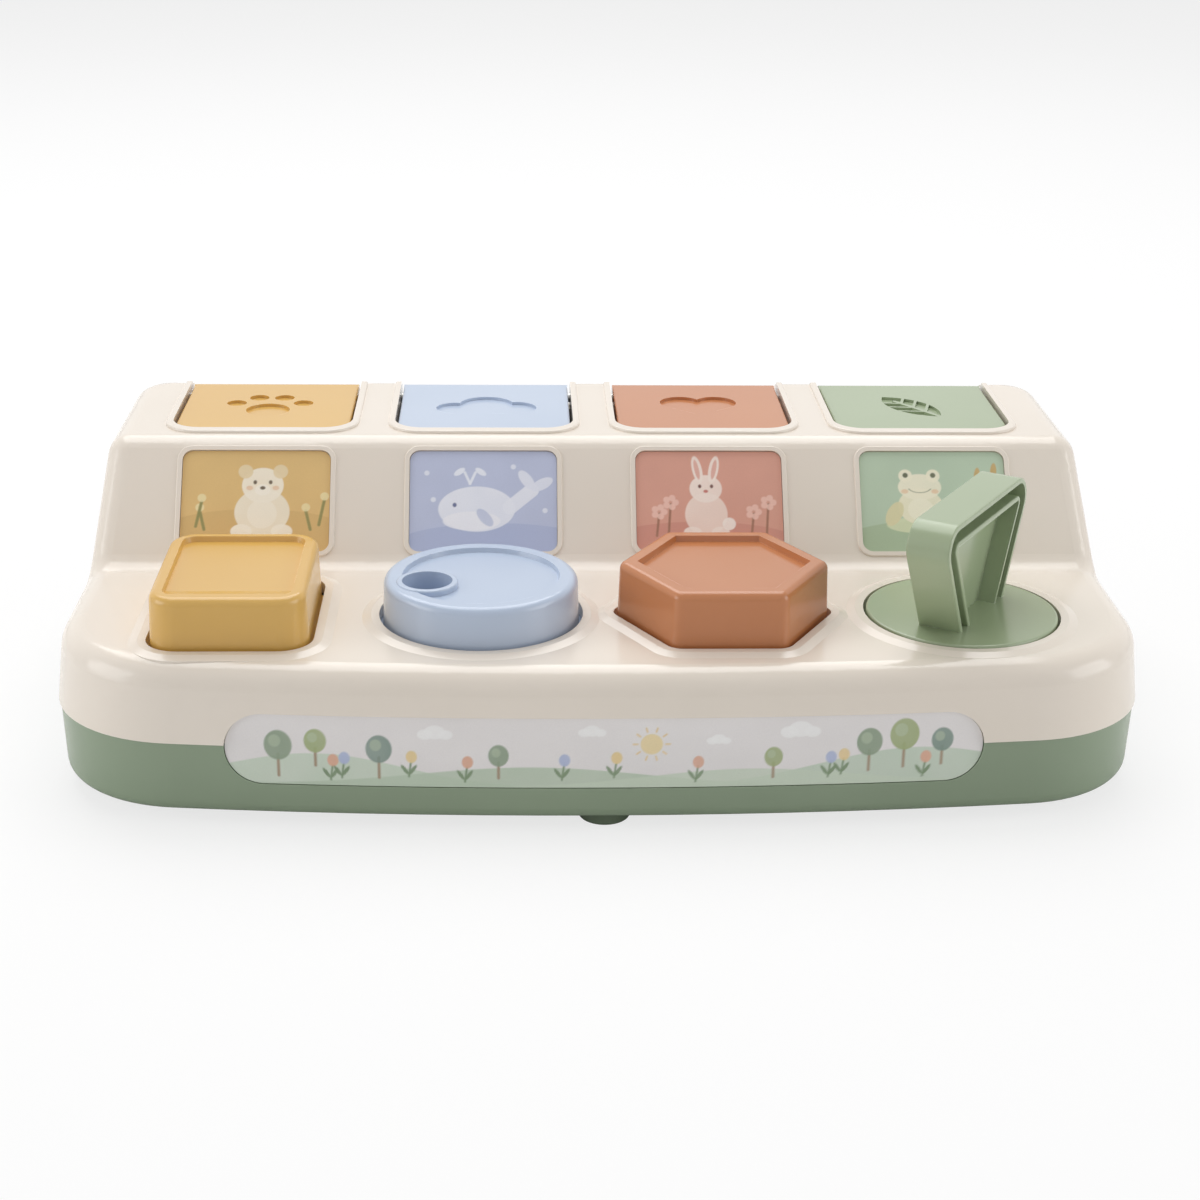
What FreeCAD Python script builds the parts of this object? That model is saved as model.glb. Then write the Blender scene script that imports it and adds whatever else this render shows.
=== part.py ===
import FreeCAD, Part
import math
import os

V = FreeCAD.Vector

# Pop up animal toy: a stepped plastic case with four flip-up lids at the back and, in front of
# each lid, one control (rocking key, turning dial, push button, twist knob). All sizes are in
# millimetres. X runs to the right, Y to the back, Z up. The origin is on the table, under the
# middle of the case.

# Case
seam_z = 25.0               # joint between the tray and the top shell
deck_z = 47.0               # deck that carries the controls
top_z = 79.4                # upper surface that carries the lids
tray_z = 4.0                # underside of the tray
half_w_low = 153.0          # half width at the seam
side_lean = 6.1             # how far each side leans in up to the upper surface
half_w_high = half_w_low - side_lean
pitch = half_w_low * 4 / 9  # distance between neighbouring units
front_low = -87.25          # front of the bowed wall at the seam
front_lean = 2.6            # how far the front wall would lean back up to the upper surface
rear_low = 86.8             # rear wall at the seam
rear_lean = 0.6             # how far the rear wall leans in up to the upper surface
front_corner = 39.0         # plan radius of the two front corners
rear_corner = 12.0          # plan radius of the two rear corners
bow = 1150.0                # plan radius of the bowed front wall
wall = 2.6                  # wall of the top shell
edge_round = 7.0            # rounding along the upper outer edges
slope_deg = 51.35           # steepness of the slope between deck and upper surface
slope_top_y = 19.96         # where the slope would meet the upper surface
foot_round = 9.0            # hollow between deck and slope
crest_round = 7.4           # rounding where the slope meets the upper surface

# Tray
tray_step = 0.5             # how far the tray stands back from the top shell
tray_lean = 0.8             # how far the tray's wall leans in down to its underside
tray_wall = 2.4
tray_floor = 2.4
tray_round = 3.5            # rounding along the lower edge
lip_gap = 0.15              # gap between the tray's lip and the top shell
lip_wall = 1.4
lip_up = 3.0                # height of the lip above the seam

# Feet
foot_r = 7.2
foot_seat = 0.6             # depth of the seat that a foot is glued into
foot_front_y = -74.75
foot_side_x = half_w_low - 31.0
foot_rear_y = 70.0
foot_mid_y = -40.0

# Screws that close the case
screw_r = 1.5
screw_head_r = 3.0
screw_head_h = 2.0
screw_bite = 10.0           # length of the thread inside the top shell's boss
screw_gap = 0.05
boss_r = 4.2
boss_meet_z = 14.0          # where a tray boss meets a shell boss
screw_side_x = half_w_low - 15.0
screw_mid_x = pitch
screw_front_y = -66.0
screw_side_y = -25.0
screw_rear_y = 68.0
screw_back_y = 76.5

# Lids and their bays
bay_w = 55.0                # width of the opening
bay_front_y = 27.6          # front edge of the opening
bay_corner = 9.0            # radius of the opening's front corners
bay_floor_z = 42.0          # upper side of the bay's floor
tub_wall = 1.6
lid_gap = 0.9               # gap between lid and opening
lid_t = 2.4
lid_skirt = 4.4             # depth of the lid's rim below its upper surface
lid_skirt_t = 1.8
hinge_y = 78.1
pin_r = 1.5
pin_seat = 0.05             # gap between a lid's pin and the top shell above it
pin_gap = 0.08
hinge_mid = 16.0            # gap between the two hinge barrels of a lid
notch_z = 71.0              # bottom of the cut-away in the rear wall behind each lid
bead_h = 0.9
bead_w = 2.0                # width of the raised bead beside a lid
bead_front = 3.6            # width of the raised bead in front of a lid
motif_depth = 0.9           # depth of the pressed motif on a lid

# Catch
hook_w = 8.0
hook_t = 2.0
hook_y = 33.0               # front face of the hook's stem
hook_low_z = 60.0
barb = 2.4
barb_h = 2.0
nose_gap = 0.7              # gap between the barb and the nose above it
nose_h = 3.2
nose_tip_y = 28.7
latch_travel = 3.0
latch_w = 10.0
latch_t = 3.0
latch_z = 9.7               # underside of the sliding bar
arm_y = 17.0                # front face of the bar's upright arm
arm_t = 3.0
rail_gap = 0.3

# Window cards on the slope
card_w = 44.1
card_l = 32.0               # length up the slope
card_low_z = 51.0
card_round = 3.0
card_depth = 0.7
card_t = 0.5
card_gap = 0.15
card_bead = 1.5
card_bead_h = 0.5

# Front label
label_w = 2 * (half_w_low - 50.5)
label_h = 20.8
label_mid_z = 24.0
label_in = 1.7              # depth of the label's seat behind the bowed wall at the seam
label_t = 0.6
label_gap = 0.2

# Controls
ctrl_y = -43.3              # line of the four controls
hole_bead_w = 2.3
hole_bead_h = 0.8
hole_bead_soft = 4.8        # where the bead's soft flank meets the deck
cap_wall = 2.0
cap_draft = 0.7             # how much a cap is narrower at its top
cap_round = 2.2
flange_out = 1.8
flange_t = 1.8
flange_gap = 0.3
post_r = 4.0
hub_gap = 0.08
hub_wall = 2.4

key_hole_w = 45.6
key_hole_l = 57.2
key_hole_r = 9.5
key_gap = 1.0
key_top_z = 62.0
key_rim = 3.6
key_recess = 1.5
key_swing = 5.0             # degrees
key_axis_in = 5.2           # hinge pin in front of the rear edge of the key's hole
key_axis_z = 39.5
key_pin_r = 1.5

dial_hole_r = 28.6
dial_gap = 1.0
dial_top_z = 59.0
dial_rim = 5.0
dial_recess = 1.3
dial_turn = 75.0            # degrees
finger_r = 7.0
finger_x = -14.8
finger_y = -5.5
finger_depth = 10.0
finger_wall = 1.6

hex_hole_r = 31.6           # corner radius of the six-sided hole, before its corners are rounded
hex_round = 5.0
hex_gap = 1.0
hex_top_z = 63.0
hex_rim = 4.6
hex_recess = 1.7
hex_press = 6.0

knob_hole_r = 27.8
knob_gap = 0.6
knob_top_z = 48.2
knob_turn = 90.0            # degrees
handle_deg = 58.0           # direction of the handle, from X
handle_foot = 16.8          # half length of the handle at the disc
handle_flare = 28.5         # degrees that its ends lean outwards
handle_h = 33.6
handle_w = 12.4
handle_t = 1.5
handle_round = 7.0
inner_gap = 3.6             # clear space between the outer and the inner band
inner_t = 1.3
inner_round = 2.2
web_t = 1.8

# Cams and springs
cam_r = 9.0
cam_z = 13.3
cam_t = 4.0
cam_gap = 0.5
wire_r = 0.45
spring_gap = 0.3


def box(x0, x1, y0, y1, z0, z1):
    return Part.makeBox(x1 - x0, y1 - y0, z1 - z0, V(x0, y0, z0))


def cyl(x, y, z0, z1, r):
    return Part.makeCylinder(r, z1 - z0, V(x, y, z0))


def cyl_x(x0, x1, y, z, r):
    return Part.makeCylinder(r, x1 - x0, V(x0, y, z), V(1, 0, 0))


def prism_yz(points, x0, x1):
    # a flat outline in the YZ plane, drawn out from x0 to x1
    wire = Part.makePolygon([V(x0, y, z) for y, z in points + points[:1]])
    return Part.Face(wire).extrude(V(x1 - x0, 0, 0))


def round_wire(points, radii, z):
    # a closed outline at height z with each corner replaced by an arc tangent to both sides
    n = len(points)
    starts = []
    arcs = []
    for i in range(n):
        p = V(points[i][0], points[i][1], z)
        a = V(points[i - 1][0], points[i - 1][1], z) - p
        b = V(points[(i + 1) % n][0], points[(i + 1) % n][1], z) - p
        a.normalize()
        b.normalize()
        half = a.getAngle(b) / 2
        r = radii[i]
        if r <= 0:
            starts.append((p, p))
            arcs.append(None)
            continue
        reach = r / math.tan(half)
        mid = a + b
        mid.normalize()
        starts.append((p + a * reach, p + b * reach))
        arcs.append(p + mid * (r / math.sin(half) - r))
    edges = []
    for i in range(n):
        if arcs[i] is not None:
            edges.append(Part.Arc(starts[i][0], arcs[i], starts[i][1]).toShape())
        edges.append(Part.makeLine(starts[i][1], starts[(i + 1) % n][0]))
    return Part.Wire(edges)


def rect_wire(x, y, w, d, r, z):
    pts = [(x - w / 2, y - d / 2), (x + w / 2, y - d / 2), (x + w / 2, y + d / 2), (x - w / 2, y + d / 2)]
    return round_wire(pts, [r] * 4, z)


def hex_wire(x, y, r, corner, z):
    pts = [(x + r * math.cos(math.radians(60 * i)), y + r * math.sin(math.radians(60 * i))) for i in range(6)]
    return round_wire(pts, [corner] * 6, z)


def circle_wire(x, y, r, z):
    return Part.Wire(Part.makeCircle(r, V(x, y, z)))


def loft(low, high):
    return Part.makeLoft([low, high], True, True)


def fuse_all(shapes):
    out = shapes[0]
    if len(shapes) > 1:
        out = out.multiFuse(shapes[1:])
    return out.removeSplitter()


def one_solid(shape):
    solids = sorted(shape.Solids, key=lambda s: -s.Volume)
    return solids[0]


def save(shapes, node):
    if isinstance(shapes, list):
        shapes = Part.Compound(shapes)
    shapes.exportStep("parts/" + node + ".step")
    print(node, shapes.isValid(), len(shapes.Solids), round(shapes.Volume, 1))


unit_x = [pitch * (i - 1.5) for i in range(4)]
slope = math.radians(slope_deg)
cos_s = math.cos(slope)
sin_s = math.sin(slope)


# Outline of the case at a height: straight sides and rear, rounded corners, bowed front.
def plan_wire(z, half_w, y_front, y_rear, r_front, r_rear, r_bow):
    yc = y_front + r_bow
    cx = half_w - r_front
    cy = yc - math.sqrt((r_bow - r_front) ** 2 - cx ** 2)
    k = r_bow / (r_bow - r_front)
    tx = cx * k
    ty = yc + (cy - yc) * k
    mid = (math.atan2(cy - yc, cx)) / 2
    mx = cx + r_front * math.cos(mid)
    my = cy + r_front * math.sin(mid)
    rx = half_w - r_rear
    ry = y_rear - r_rear
    q = math.sqrt(0.5) * r_rear
    edges = [
        Part.makeLine(V(-rx, y_rear, z), V(rx, y_rear, z)),
        Part.Arc(V(rx, y_rear, z), V(rx + q, ry + q, z), V(half_w, ry, z)).toShape(),
        Part.makeLine(V(half_w, ry, z), V(half_w, cy, z)),
        Part.Arc(V(half_w, cy, z), V(mx, my, z), V(tx, ty, z)).toShape(),
        Part.Arc(V(tx, ty, z), V(0, y_front, z), V(-tx, ty, z)).toShape(),
        Part.Arc(V(-tx, ty, z), V(-mx, my, z), V(-half_w, cy, z)).toShape(),
        Part.makeLine(V(-half_w, cy, z), V(-half_w, ry, z)),
        Part.Arc(V(-half_w, ry, z), V(-rx - q, ry + q, z), V(-rx, y_rear, z)).toShape(),
    ]
    return Part.Wire(edges)


def shell_plan(z, inset):
    t = (z - seam_z) / (top_z - seam_z)
    half_w = half_w_low + (half_w_high - half_w_low) * t
    return plan_wire(z, half_w - inset, front_low + front_lean * t + inset, rear_low - rear_lean * t - inset,
                     front_corner - inset, rear_corner - inset, bow - inset)


def tray_plan(z, inset):
    t = (seam_z - z) / (seam_z - tray_z)
    d = tray_step + tray_lean * t + inset
    return plan_wire(z, half_w_low - d, front_low + d, rear_low - d, front_corner - d, rear_corner - d, bow - d)


# The stepped block: the plan outline drawn up and cut off by the deck, slope and upper surface.
def stepped_block(inset, z_low):
    z_high = top_z + 12.0
    body = loft(shell_plan(z_low, inset), shell_plan(z_high, inset))
    deck = deck_z - inset
    top = top_z - inset
    # the slope's line, moved in by the inset along its normal
    base_y = slope_top_y + inset * sin_s
    base_z = top_z - inset * cos_s
    foot_y = base_y - (base_z - deck) * cos_s / sin_s
    crest_y = base_y + (top - base_z) * cos_s / sin_s
    far = 260.0
    pts = [(-far, z_low - 5), (-far, deck), (foot_y, deck), (crest_y, top), (far, top), (far, z_low - 5)]
    # the outline is drawn flat and then stood up into the YZ plane
    flat = round_wire(pts, [0, 0, foot_round + inset, crest_round - inset, 0, 0], 0)
    stand = FreeCAD.Matrix(0, 0, 1, 0, 1, 0, 0, 0, 0, 1, 0, 0, 0, 0, 0, 1)
    face = Part.Face(flat.transformGeometry(stand))
    face.translate(V(-far, 0, 0))
    return body.common(face.extrude(V(2 * far, 0, 0)))


def outer_edges(block, inset):
    # the edges that the deck, slope and upper surface share with the outer walls
    found = []
    for e in block.Edges:
        zs = []
        ys = []
        for i in range(5):
            p = e.valueAt(e.FirstParameter + (e.LastParameter - e.FirstParameter) * i / 4)
            zs.append(p.z)
            ys.append(p.y)
        if min(zs) < deck_z - inset - 1e-4:
            continue
        # the lines across the case, where the slope begins and ends, stay as they are
        across = max(ys) - min(ys) < 1e-5 and max(zs) - min(zs) < 1e-5 and e.Length > half_w_high
        if across and abs(ys[0]) < 60:
            continue
        found.append(e)
    return found


def rounded_block(inset, z_low):
    block = one_solid(stepped_block(inset, z_low))
    return one_solid(block.makeFillet(edge_round - inset, outer_edges(block, inset)))


def ring_prism(wire_at, inset, thick, z0, z1):
    # a wall of even thickness that follows one of the plan outlines
    body = loft(wire_at(z0, inset), wire_at(z1, inset))
    return body.cut(loft(wire_at(z0, inset + thick), wire_at(z1, inset + thick)))


# Outline of one of the four controls' holes at a height, grown outwards by a distance.
def control_wire(kind, grow, z):
    if kind == "key":
        return rect_wire(unit_x[0], ctrl_y, key_hole_w + 2 * grow, key_hole_l + 2 * grow, key_hole_r + grow, z)
    if kind == "dial":
        return circle_wire(unit_x[1], ctrl_y, dial_hole_r + grow, z)
    if kind == "hex":
        out = grow / math.cos(math.radians(30))
        return hex_wire(unit_x[2], ctrl_y, hex_hole_r + out, hex_round + grow, z)
    return circle_wire(unit_x[3], ctrl_y, knob_hole_r + grow, z)


def control_prism(kind, grow0, z0, grow1, z1):
    return loft(control_wire(kind, grow0, z0), control_wire(kind, grow1, z1))


def edges_at(shape, z, tol=1e-3):
    return [e for e in shape.Edges if abs(e.BoundBox.ZMin - z) < tol and abs(e.BoundBox.ZMax - z) < tol]


# A plate drawn flat in XY is laid on the slope: its Y runs up the slope and its Z stands off it.
card_y = slope_top_y - (top_z - card_low_z) * cos_s / sin_s


def on_slope(shape, x):
    shape.rotate(V(0, 0, 0), V(1, 0, 0), slope_deg)
    shape.translate(V(x, card_y, card_low_z))
    return shape


def card_prism(grow, r, z0, z1):
    wire = rect_wire(0, card_l / 2, card_w + 2 * grow, card_l + 2 * grow, r, z0)
    return Part.Face(wire).extrude(V(0, 0, z1 - z0))


# The stadium shaped label's seat follows the bow of the front wall.
def label_block(shrink, y_back):
    w = label_w - 2 * shrink
    h = label_h - 2 * shrink
    flat = rect_wire(0, label_mid_z, w, h, h / 2 - 0.01, 0)
    stand = FreeCAD.Matrix(1, 0, 0, 0, 0, 0, -1, 0, 0, 1, 0, 0, 0, 0, 0, 1)
    face = Part.Face(flat.transformGeometry(stand))
    face.translate(V(0, front_low - 8, 0))
    return face.extrude(V(0, y_back - front_low + 8, 0))


def bow_cylinder(depth):
    return cyl(0, front_low + bow, seam_z - 30, seam_z + 30, bow - depth)


def coil_wire(r, pitch_z, start_deg, turns, hand, lead, tail):
    # a helix about Z, as arcs of about an eighth turn in tangent pairs, with straight ends
    # r: radius of the wire's centre line; hand: 1 runs anticlockwise going up, -1 clockwise
    steps = max(1, int(round(turns * 4)))
    pts = []
    tans = []
    for i in range(steps + 1):
        a = math.radians(start_deg) + hand * 2 * math.pi * turns * i / steps
        pts.append(V(r * math.cos(a), r * math.sin(a), pitch_z * turns * i / steps))
        t = V(-hand * r * math.sin(a), hand * r * math.cos(a), pitch_z / (2 * math.pi))
        t.normalize()
        tans.append(t)
    edges = []
    if lead > 0:
        edges.append(Part.makeLine(pts[0] - tans[0] * lead, pts[0]))
    for i in range(steps):
        p0, p1, t0, t1 = pts[i], pts[i + 1], tans[i], tans[i + 1]
        v = p1 - p0
        t = t0 + t1
        a = 2 - 2 * t0.dot(t1)
        b = 2 * v.dot(t)
        c = -v.dot(v)
        d = (-b + math.sqrt(b * b - 4 * a * c)) / (2 * a)
        mid = (p0 + t0 * d + p1 - t1 * d) * 0.5
        for start, end, corner in ((p0, mid, p0 + t0 * d), (mid, p1, p1 - t1 * d)):
            m = (start + end) * 0.5
            half_chord = (end - start).Length / 2
            lean = math.acos(min(1, half_chord / d))
            up = corner - m
            up.normalize()
            edges.append(Part.Arc(start, m + up * (half_chord * math.tan(lean / 2)), end).toShape())
    if tail > 0:
        edges.append(Part.makeLine(pts[-1], pts[-1] + tans[-1] * tail))
    first = edges[0].valueAt(edges[0].FirstParameter)
    aim = edges[0].tangentAt(edges[0].FirstParameter)
    section = Part.Wire(Part.makeCircle(wire_r, first, aim))
    body = Part.Wire(edges).makePipeShell([section], True, False)
    least = pitch_z - 2 * wire_r
    print("coil of", turns, "turns, least gap", round(least, 2))
    return one_solid(Part.Solid(body) if body.ShapeType == "Shell" else body)


os.makedirs("parts", exist_ok=True)

kinds = ["key", "dial", "hex", "knob"]
gaps = {"key": key_gap, "dial": dial_gap, "hex": hex_gap, "knob": knob_gap}
tops = {"key": key_top_z, "dial": dial_top_z, "hex": hex_top_z, "knob": knob_top_z}
deck_under = deck_z - wall
top_under = top_z - wall
skirt_z = deck_under - flange_gap - flange_t
hinge_r = wall + pin_seat + pin_r
hinge_z = top_z - hinge_r
floor_z = tray_z + tray_floor
hub_r = post_r + hub_gap + hub_wall
nose_z = hook_low_z + barb_h + nose_gap
tub_floor_z = bay_floor_z - tub_wall
rear_top = rear_low - rear_lean
key_axis_y = ctrl_y + key_hole_l / 2 - key_axis_in
screw_seat_z = tray_z + screw_head_h + 2.0
screws = []
for sx in (-1, 1):
    screws.append((sx * screw_mid_x, screw_front_y, deck_z - wall / 2))
    screws.append((sx * screw_side_x, screw_side_y, deck_z - wall / 2))
    screws.append((sx * screw_side_x, screw_rear_y, top_z - wall / 2))
    screws.append((sx * screw_mid_x, screw_back_y, top_z - wall / 2))
feet = [(0, foot_front_y)]
for sx in (-1, 1):
    feet.append((sx * foot_side_x, foot_rear_y))
    feet.append((sx * foot_side_x, foot_mid_y))


# Top shell
outer = rounded_block(0.0, seam_z)
inner = rounded_block(wall, seam_z - 1.0)
shell = one_solid(outer.cut(inner))
adds = []
cuts = []
for kind in kinds:
    base = control_prism(kind, hole_bead_soft, deck_z - hole_bead_h, hole_bead_soft, deck_z)
    bead = control_prism(kind, hole_bead_soft, deck_z, hole_bead_w, deck_z + hole_bead_h)
    adds.append(base)
    adds.append(bead)
    cuts.append(control_prism(kind, 0, deck_under - 1, 0, deck_z + hole_bead_h + 1))
bead_end = rear_top - edge_round
for x in unit_x:
    y0 = bay_front_y - bead_front
    w = bay_w + 2 * bead_w
    pts = [(x - w / 2, y0), (x + w / 2, y0), (x + w / 2, bead_end), (x - w / 2, bead_end)]
    r = bay_corner + bead_w
    bead = Part.Face(round_wire(pts, [r, r, 0, 0], top_z - wall / 2)).extrude(V(0, 0, bead_h + wall / 2))
    rim = [e for e in edges_at(bead, top_z + bead_h) if e.CenterOfMass.y < bead_end - 1]
    adds.append(bead.makeFillet(bead_h * 0.75, rim))
    pts = [(x - bay_w / 2, bay_front_y), (x + bay_w / 2, bay_front_y), (x + bay_w / 2, rear_low + 9),
           (x - bay_w / 2, rear_low + 9)]
    bay = Part.Face(round_wire(pts, [bay_corner, bay_corner, 0, 0], notch_z)).extrude(V(0, 0, 20))
    cuts.append(bay)
    frame = card_prism(card_gap + card_bead, card_round + card_bead, -wall / 2, card_bead_h)
    frame = frame.makeFillet(card_bead_h * 0.7, edges_at(frame, card_bead_h))
    adds.append(on_slope(frame, x))
    cuts.append(on_slope(card_prism(card_gap, card_round + card_gap, -card_depth, 5), x))
for x, y, z in screws:
    adds.append(cyl(x, y, boss_meet_z, z, boss_r))
    cuts.append(cyl(x, y, boss_meet_z - 1, boss_meet_z + screw_bite + 1, screw_r + screw_gap))
ear_in = key_hole_w / 2 - key_gap + flange_out + 0.7
for sx in (-1, 1):
    x = unit_x[0] + sx * (ear_in + 1.5)
    adds.append(box(x - 1.5, x + 1.5, key_axis_y - 4, key_axis_y + 4, key_axis_z, deck_z - wall / 2))
    adds.append(cyl_x(x - 1.5, x + 1.5, key_axis_y, key_axis_z, 4))
    cuts.append(cyl_x(x - 3, x + 3, key_axis_y, key_axis_z, key_pin_r + 0.03))
label_cut = label_block(0, front_low + 30).cut(bow_cylinder(label_in))
shell = fuse_all([shell] + adds)
for c in cuts:
    shell = shell.cut(c)
shell = one_solid(shell.cut(label_cut))
save(shell, "top_case")

# Tray with its lip, posts, pegs, guides and feet seats
tray = loft(tray_plan(tray_z, 0), tray_plan(seam_z, 0))
tray = tray.makeFillet(tray_round, edges_at(tray, tray_z))
tray = tray.cut(loft(tray_plan(floor_z, tray_wall), tray_plan(seam_z + 1, tray_wall)))
adds = [ring_prism(shell_plan, wall + lip_gap, lip_wall, seam_z - 4, seam_z + lip_up)]
cuts = []
root = floor_z - tray_floor / 2
for x, y, z in screws:
    adds.append(cyl(x, y, root, boss_meet_z, boss_r))
    cuts.append(cyl(x, y, tray_z - 1, boss_meet_z + 1, screw_r + 0.25))
    cuts.append(cyl(x, y, tray_z - 1, screw_seat_z, screw_head_r + 0.3))
for x, y in feet:
    cuts.append(cyl(x, y, tray_z - 1, tray_z + foot_seat, foot_r + 0.15))
for x in unit_x:
    for y in (-22.0, 8.0):
        saddle = box(x - latch_w / 2 - 2.3, x + latch_w / 2 + 2.3, y - 2, y + 2, root, latch_z + latch_t)
        slot = box(x - latch_w / 2 - rail_gap, x + latch_w / 2 + rail_gap, y - 3, y + 3,
                   latch_z - rail_gap, latch_z + latch_t + 1)
        adds.append(saddle.cut(slot))
    for sx in (-1, 1):
        adds.append(cyl(x + sx * 18, (bay_front_y + hinge_y) / 2, root, tub_floor_z, 3.5))
spring_z = cam_z + cam_t + spring_gap + wire_r
hub_coil_r = hub_r + wire_r + 0.4
peg_x = hub_coil_r + wire_r + spring_gap + 1.5
for x in (unit_x[1], unit_x[3]):
    adds.append(cyl(x, ctrl_y, root, cam_z - spring_gap, hub_r))
    adds.append(cyl(x, ctrl_y, root, skirt_z - 4, post_r))
    adds.append(cyl(x - peg_x, ctrl_y + 16.5, root, spring_z + 2, 1.5))
adds.append(cyl(unit_x[2], ctrl_y, root, skirt_z - 4, post_r))
key_tube_r = 4.9
key_spring_y = ctrl_y - key_hole_l / 2 + key_gap + cap_wall + 0.6 + key_tube_r
adds.append(cyl(unit_x[0], key_spring_y, root, 14.0, 3.2))
tray = fuse_all([one_solid(tray)] + adds)
for c in cuts:
    tray = tray.cut(c)
tray = one_solid(tray.cut(label_cut))
save(tray, "base_tray")

# Label, cards, feet and screws
label = label_block(label_gap, front_low + 30)
label = label.common(bow_cylinder(label_in - label_t)).cut(bow_cylinder(label_in))
save(one_solid(label), "front_label")
for i, x in enumerate(unit_x):
    card = on_slope(card_prism(0, card_round, -card_depth, -card_depth + card_t), x)
    save(card, "window_card_" + str(i + 1))
pads = []
for x, y in feet:
    pad = cyl(x, y, 0, tray_z + foot_seat, foot_r)
    pads.append(pad.makeFillet(1.0, edges_at(pad, 0)))
save(pads, "foot_pads")
fasteners = []
for x, y, z in screws:
    head = cyl(x, y, screw_seat_z - screw_head_h, screw_seat_z, screw_head_r)
    head = head.makeFillet(0.6, edges_at(head, screw_seat_z - screw_head_h))
    cross = box(x - 1.6, x + 1.6, y - 0.35, y + 0.35, 0, screw_seat_z - 0.9)
    cross = cross.fuse(box(x - 0.35, x + 0.35, y - 1.6, y + 1.6, 0, screw_seat_z - 0.9))
    shaft = cyl(x, y, screw_seat_z - 0.1, boss_meet_z + screw_bite, screw_r)
    fasteners.append(one_solid(head.cut(cross).fuse(shaft).removeSplitter()))
save(fasteners, "case_screws")

# Bays under the lids, with the hinge pins
for i, x in enumerate(unit_x):
    w = bay_w / 2
    y1 = rear_top - wall - 1.0
    tub = box(x - w - tub_wall, x + w + tub_wall, bay_front_y - tub_wall, y1, tub_floor_z, top_under)
    tub = tub.cut(box(x - w, x + w, bay_front_y, y1 - tub_wall, bay_floor_z, top_under + 1))
    tub = tub.cut(box(x - w, x + w, y1 - tub_wall - 1, y1 + 1, notch_z - 0.4, top_under + 1))
    slot = cyl_x(x - w - 5, x + w + 5, hinge_y, hinge_z, pin_r + 0.03)
    slot = slot.fuse(box(x - w - 5, x + w + 5, hinge_y - pin_r - 0.03, hinge_y + pin_r + 0.03, hinge_z,
                         top_under + 1))
    tub = tub.cut(slot)
    door = box(x - hook_w / 2 - 1.5, x + hook_w / 2 + 1.5, bay_front_y - 4, bay_front_y + 1, nose_z - 0.9,
               nose_z + nose_h + 0.9)
    tub = one_solid(tub.cut(door))
    tub = tub.makeFillet(2.0, [e for e in edges_at(tub, bay_floor_z) if e.Length > 20])
    tub = one_solid(tub.common(inner))
    save(tub, "bay_tub_" + str(i + 1))
    pin = cyl_x(x - w - tub_wall, x + w + tub_wall, hinge_y, hinge_z, pin_r)
    save(pin, "lid_pin_" + str(i + 1))


# Pressed motifs: paw, cloud, heart and leaf
def motif(i, x):
    y = (bay_front_y + lid_gap + hinge_y) / 2 + 1.0
    z0 = top_z - motif_depth
    z1 = top_z + 3
    if i == 0:
        parts = [cyl(x, y - 5, z0, z1, 6.8)]
        for dx, dy in ((-10.5, 2.5), (-4.0, 8.5), (4.0, 8.5), (10.5, 2.5)):
            parts.append(cyl(x + dx, y + dy, z0, z1, 3.1))
        return parts
    if i == 1:
        parts = [cyl(x - 9.5, y - 2.5, z0, z1, 5.8), cyl(x + 0.5, y + 1.5, z0, z1, 8.6),
                 cyl(x + 10.0, y - 2.0, z0, z1, 6.3), box(x - 9.5, x + 10.0, y - 8.3, y - 2, z0, z1)]
        return [fuse_all(parts)]
    if i == 2:
        lobe = 6.6
        c = 5.6
        drop = 13.5
        # the heart's point lies where the tangents of both lobes meet
        dist = math.hypot(c, drop)
        a = math.atan2(-drop, -c) + math.acos(lobe / dist)
        tx = c + lobe * math.cos(a + 2 * (math.atan2(-drop, -c) - a))
        ty = lobe * math.sin(a + 2 * (math.atan2(-drop, -c) - a))
        if tx < c:
            tx = c + lobe * math.cos(a)
            ty = lobe * math.sin(a)
        pts = [(x, y + 4 - drop), (x + tx, y + 4 + ty), (x, y + 4 + lobe * 0.5), (x - tx, y + 4 + ty)]
        wire = Part.makePolygon([V(px, py, z0) for px, py in pts + pts[:1]])
        body = Part.Face(wire).extrude(V(0, 0, z1 - z0))
        return [fuse_all([body, cyl(x - c, y + 4, z0, z1, lobe), cyl(x + c, y + 4, z0, z1, lobe)])]
    big = 17.0
    off = 10.6
    leaf = cyl(x - off, y, z0, z1, big).common(cyl(x + off, y, z0, z1, big))
    leaf = leaf.cut(box(x - 0.6, x + 0.6, y - 20, y + 8, z0 - 1, z1 + 1))
    for k in (-6.5, -1.0, 4.5):
        vein = box(-0.45, 0.45, 0, 20, z0 - 1, z1 + 1)
        for lean in (-50, 50):
            v = vein.copy()
            v.rotate(V(0, 0, 0), V(0, 0, 1), lean)
            v.translate(V(x, y + k, 0))
            leaf = leaf.cut(v)
    leaf.rotate(V(x, y, 0), V(0, 0, 1), 35)
    return leaf.Solids


lid_w = bay_w / 2 - lid_gap
lid_front = bay_front_y + lid_gap
lid_under = top_z - lid_t


def lid_outline(x, inset, y_end, z):
    pts = [(x - lid_w + inset, lid_front + inset), (x + lid_w - inset, lid_front + inset),
           (x + lid_w - inset, y_end), (x - lid_w + inset, y_end)]
    r = bay_corner - lid_gap - inset
    return Part.Face(round_wire(pts, [r, r, 0, 0], z))


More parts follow.
